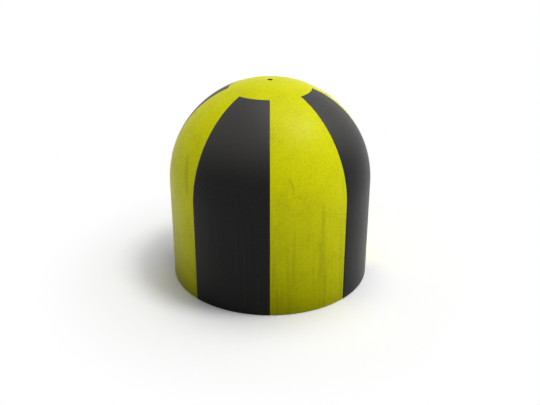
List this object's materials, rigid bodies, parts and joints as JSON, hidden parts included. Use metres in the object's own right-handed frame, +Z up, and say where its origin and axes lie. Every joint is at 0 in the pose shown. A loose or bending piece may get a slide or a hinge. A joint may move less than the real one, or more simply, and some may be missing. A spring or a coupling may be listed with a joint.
{
  "type": "hemispherical bollard",
  "caption": "Free-standing concrete bollard: a straight round skirt under a half-ball dome, painted yellow with black bands, with a threaded lifting socket in its top.",
  "frame": {"origin": "centre of the flat underside, on the ground", "axes": "+Z up along the axis of the body; the front, -Y, faces the edge where a black band and the yellow band to its right (+X side) meet"},
  "size_m": [0.501, 0.501, 0.4999],
  "materials": {
    "yellow_paint": "satin",
    "black_paint": "satin",
    "socket_steel": "satin"
  },
  "bodies": {
    "root": {"body": "yellow_paint", "black_bands": "black_paint", "lifting_socket": "socket_steel"}
  },
  "joints": []
}
